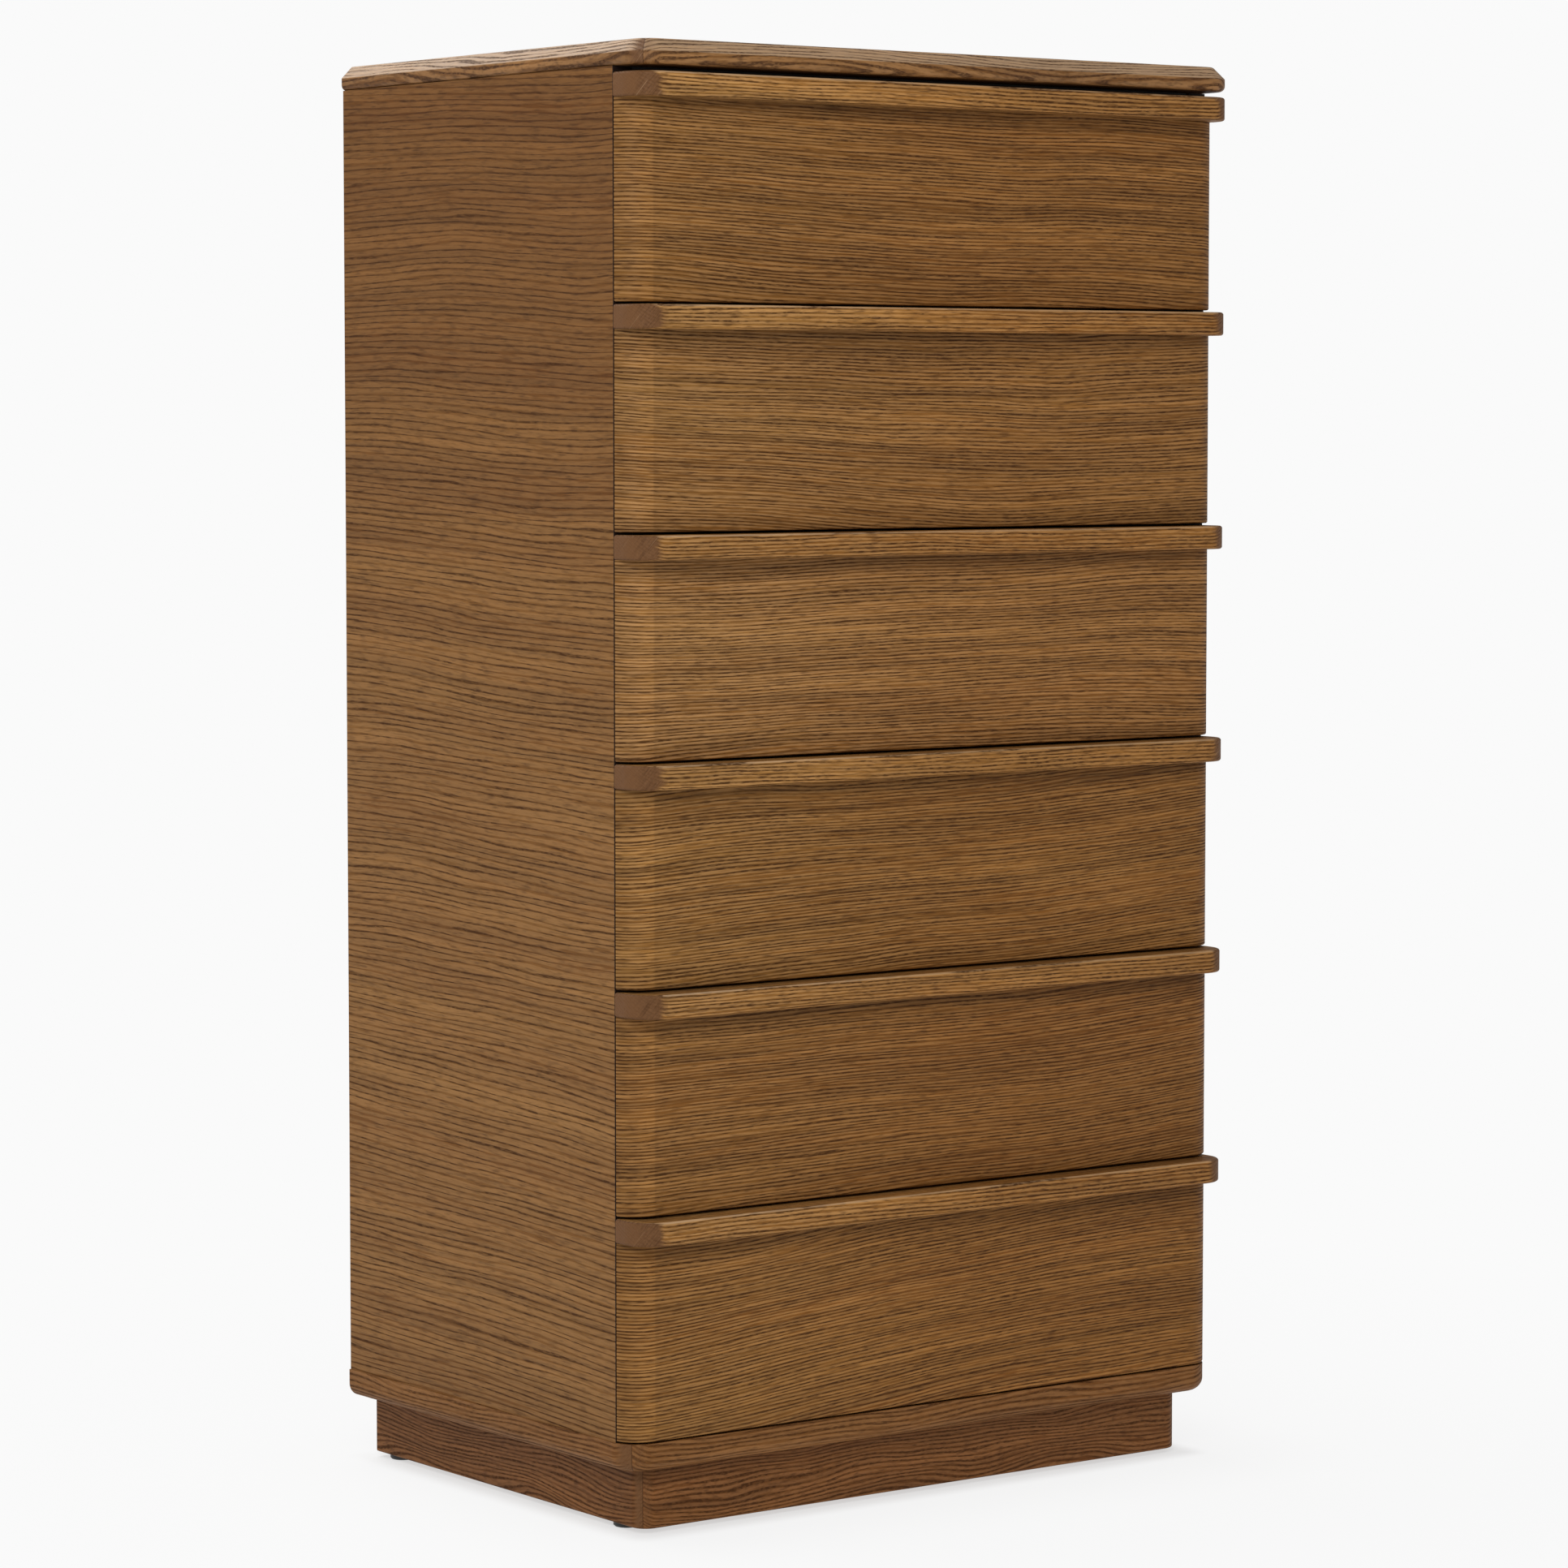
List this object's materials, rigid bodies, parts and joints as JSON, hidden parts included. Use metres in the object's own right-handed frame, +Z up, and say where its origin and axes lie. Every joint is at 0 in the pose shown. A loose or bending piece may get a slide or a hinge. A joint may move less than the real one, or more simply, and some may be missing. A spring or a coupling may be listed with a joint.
{
  "type": "tall chest of drawers",
  "caption": "Tall narrow chest of drawers in dark stained oak with rounded corners, a bevelled top, solid lip rails as pulls, a recessed plinth and telescopic runners.",
  "frame": {"origin": "on the floor, midway across the width and the depth", "axes": "+Z up; the drawer fronts face -Y and open along -Y; X runs along the width"},
  "size_m": [0.658, 0.47, 1.27],
  "materials": {
    "oak_top": "stained oak veneer, matt lacquer",
    "oak_edging": "stained solid oak, matt lacquer",
    "oak_side": "stained oak veneer, grain running front to back, matt lacquer",
    "oak_bottom": "stained oak veneer, matt lacquer",
    "oak_front": "stained oak veneer, grain running across, matt lacquer",
    "oak_lip": "stained solid oak, matt lacquer",
    "oak_plinth": "stained solid oak, matt lacquer",
    "pale_wood": "clear-lacquered solid wood",
    "drawer_floor": "clear-lacquered plywood",
    "back_board": "stained fibreboard",
    "runner_steel": "zinc-plated rolled steel",
    "screw_steel": "zinc-plated steel",
    "glide_plastic": "black moulded plastic"
  },
  "bodies": {
    "case": {"top_panel": "oak_top", "top_edging": "oak_edging", "bottom_panel": "oak_bottom", "bottom_edging": "oak_edging", "right_side_panel": "oak_side", "left_side_panel": "oak_side", "back_panel": "back_board", "case_rails": "pale_wood", "plinth": "oak_plinth", "glide_feet": "glide_plastic", "cabinet_runners": "runner_steel", "case_screws": "screw_steel"},
    "drawer_1": {"drawer_1_front": "oak_front", "drawer_1_lip": "oak_lip", "drawer_1_box_sides": "pale_wood", "drawer_1_box_ends": "pale_wood", "drawer_1_bottom": "drawer_floor", "drawer_1_runners": "runner_steel", "drawer_1_screws": "screw_steel"},
    "middle_1": {"middle_runners_1": "runner_steel"},
    "drawer_2": {"drawer_2_front": "oak_front", "drawer_2_lip": "oak_lip", "drawer_2_box_sides": "pale_wood", "drawer_2_box_ends": "pale_wood", "drawer_2_bottom": "drawer_floor", "drawer_2_runners": "runner_steel", "drawer_2_screws": "screw_steel"},
    "middle_2": {"middle_runners_2": "runner_steel"},
    "drawer_3": {"drawer_3_front": "oak_front", "drawer_3_lip": "oak_lip", "drawer_3_box_sides": "pale_wood", "drawer_3_box_ends": "pale_wood", "drawer_3_bottom": "drawer_floor", "drawer_3_runners": "runner_steel", "drawer_3_screws": "screw_steel"},
    "middle_3": {"middle_runners_3": "runner_steel"},
    "drawer_4": {"drawer_4_front": "oak_front", "drawer_4_lip": "oak_lip", "drawer_4_box_sides": "pale_wood", "drawer_4_box_ends": "pale_wood", "drawer_4_bottom": "drawer_floor", "drawer_4_runners": "runner_steel", "drawer_4_screws": "screw_steel"},
    "middle_4": {"middle_runners_4": "runner_steel"},
    "drawer_5": {"drawer_5_front": "oak_front", "drawer_5_lip": "oak_lip", "drawer_5_box_sides": "pale_wood", "drawer_5_box_ends": "pale_wood", "drawer_5_bottom": "drawer_floor", "drawer_5_runners": "runner_steel", "drawer_5_screws": "screw_steel"},
    "middle_5": {"middle_runners_5": "runner_steel"},
    "drawer_6": {"drawer_6_front": "oak_front", "drawer_6_lip": "oak_lip", "drawer_6_box_sides": "pale_wood", "drawer_6_box_ends": "pale_wood", "drawer_6_bottom": "drawer_floor", "drawer_6_runners": "runner_steel", "drawer_6_screws": "screw_steel"},
    "middle_6": {"middle_runners_6": "runner_steel"}
  },
  "joints": [
    {"name": "drawer_1_slide", "type": "slide", "parent": "case", "child": "drawer_1", "axis": [0, -1, 0], "range_m": [0, 0.38]},
    {"name": "middle_1_slide", "type": "slide", "parent": "case", "child": "middle_1", "axis": [0, -1, 0], "range_m": [0, 0.19]},
    {"name": "drawer_2_slide", "type": "slide", "parent": "case", "child": "drawer_2", "axis": [0, -1, 0], "range_m": [0, 0.38]},
    {"name": "middle_2_slide", "type": "slide", "parent": "case", "child": "middle_2", "axis": [0, -1, 0], "range_m": [0, 0.19]},
    {"name": "drawer_3_slide", "type": "slide", "parent": "case", "child": "drawer_3", "axis": [0, -1, 0], "range_m": [0, 0.38]},
    {"name": "middle_3_slide", "type": "slide", "parent": "case", "child": "middle_3", "axis": [0, -1, 0], "range_m": [0, 0.19]},
    {"name": "drawer_4_slide", "type": "slide", "parent": "case", "child": "drawer_4", "axis": [0, -1, 0], "range_m": [0, 0.38]},
    {"name": "middle_4_slide", "type": "slide", "parent": "case", "child": "middle_4", "axis": [0, -1, 0], "range_m": [0, 0.19]},
    {"name": "drawer_5_slide", "type": "slide", "parent": "case", "child": "drawer_5", "axis": [0, -1, 0], "range_m": [0, 0.38]},
    {"name": "middle_5_slide", "type": "slide", "parent": "case", "child": "middle_5", "axis": [0, -1, 0], "range_m": [0, 0.19]},
    {"name": "drawer_6_slide", "type": "slide", "parent": "case", "child": "drawer_6", "axis": [0, -1, 0], "range_m": [0, 0.38]},
    {"name": "middle_6_slide", "type": "slide", "parent": "case", "child": "middle_6", "axis": [0, -1, 0], "range_m": [0, 0.19]}
  ],
  "couplings": [
    {"joint": "middle_1_slide", "follows": "drawer_1_slide", "ratio": 0.5},
    {"joint": "middle_2_slide", "follows": "drawer_2_slide", "ratio": 0.5},
    {"joint": "middle_3_slide", "follows": "drawer_3_slide", "ratio": 0.5},
    {"joint": "middle_4_slide", "follows": "drawer_4_slide", "ratio": 0.5},
    {"joint": "middle_5_slide", "follows": "drawer_5_slide", "ratio": 0.5},
    {"joint": "middle_6_slide", "follows": "drawer_6_slide", "ratio": 0.5}
  ]
}
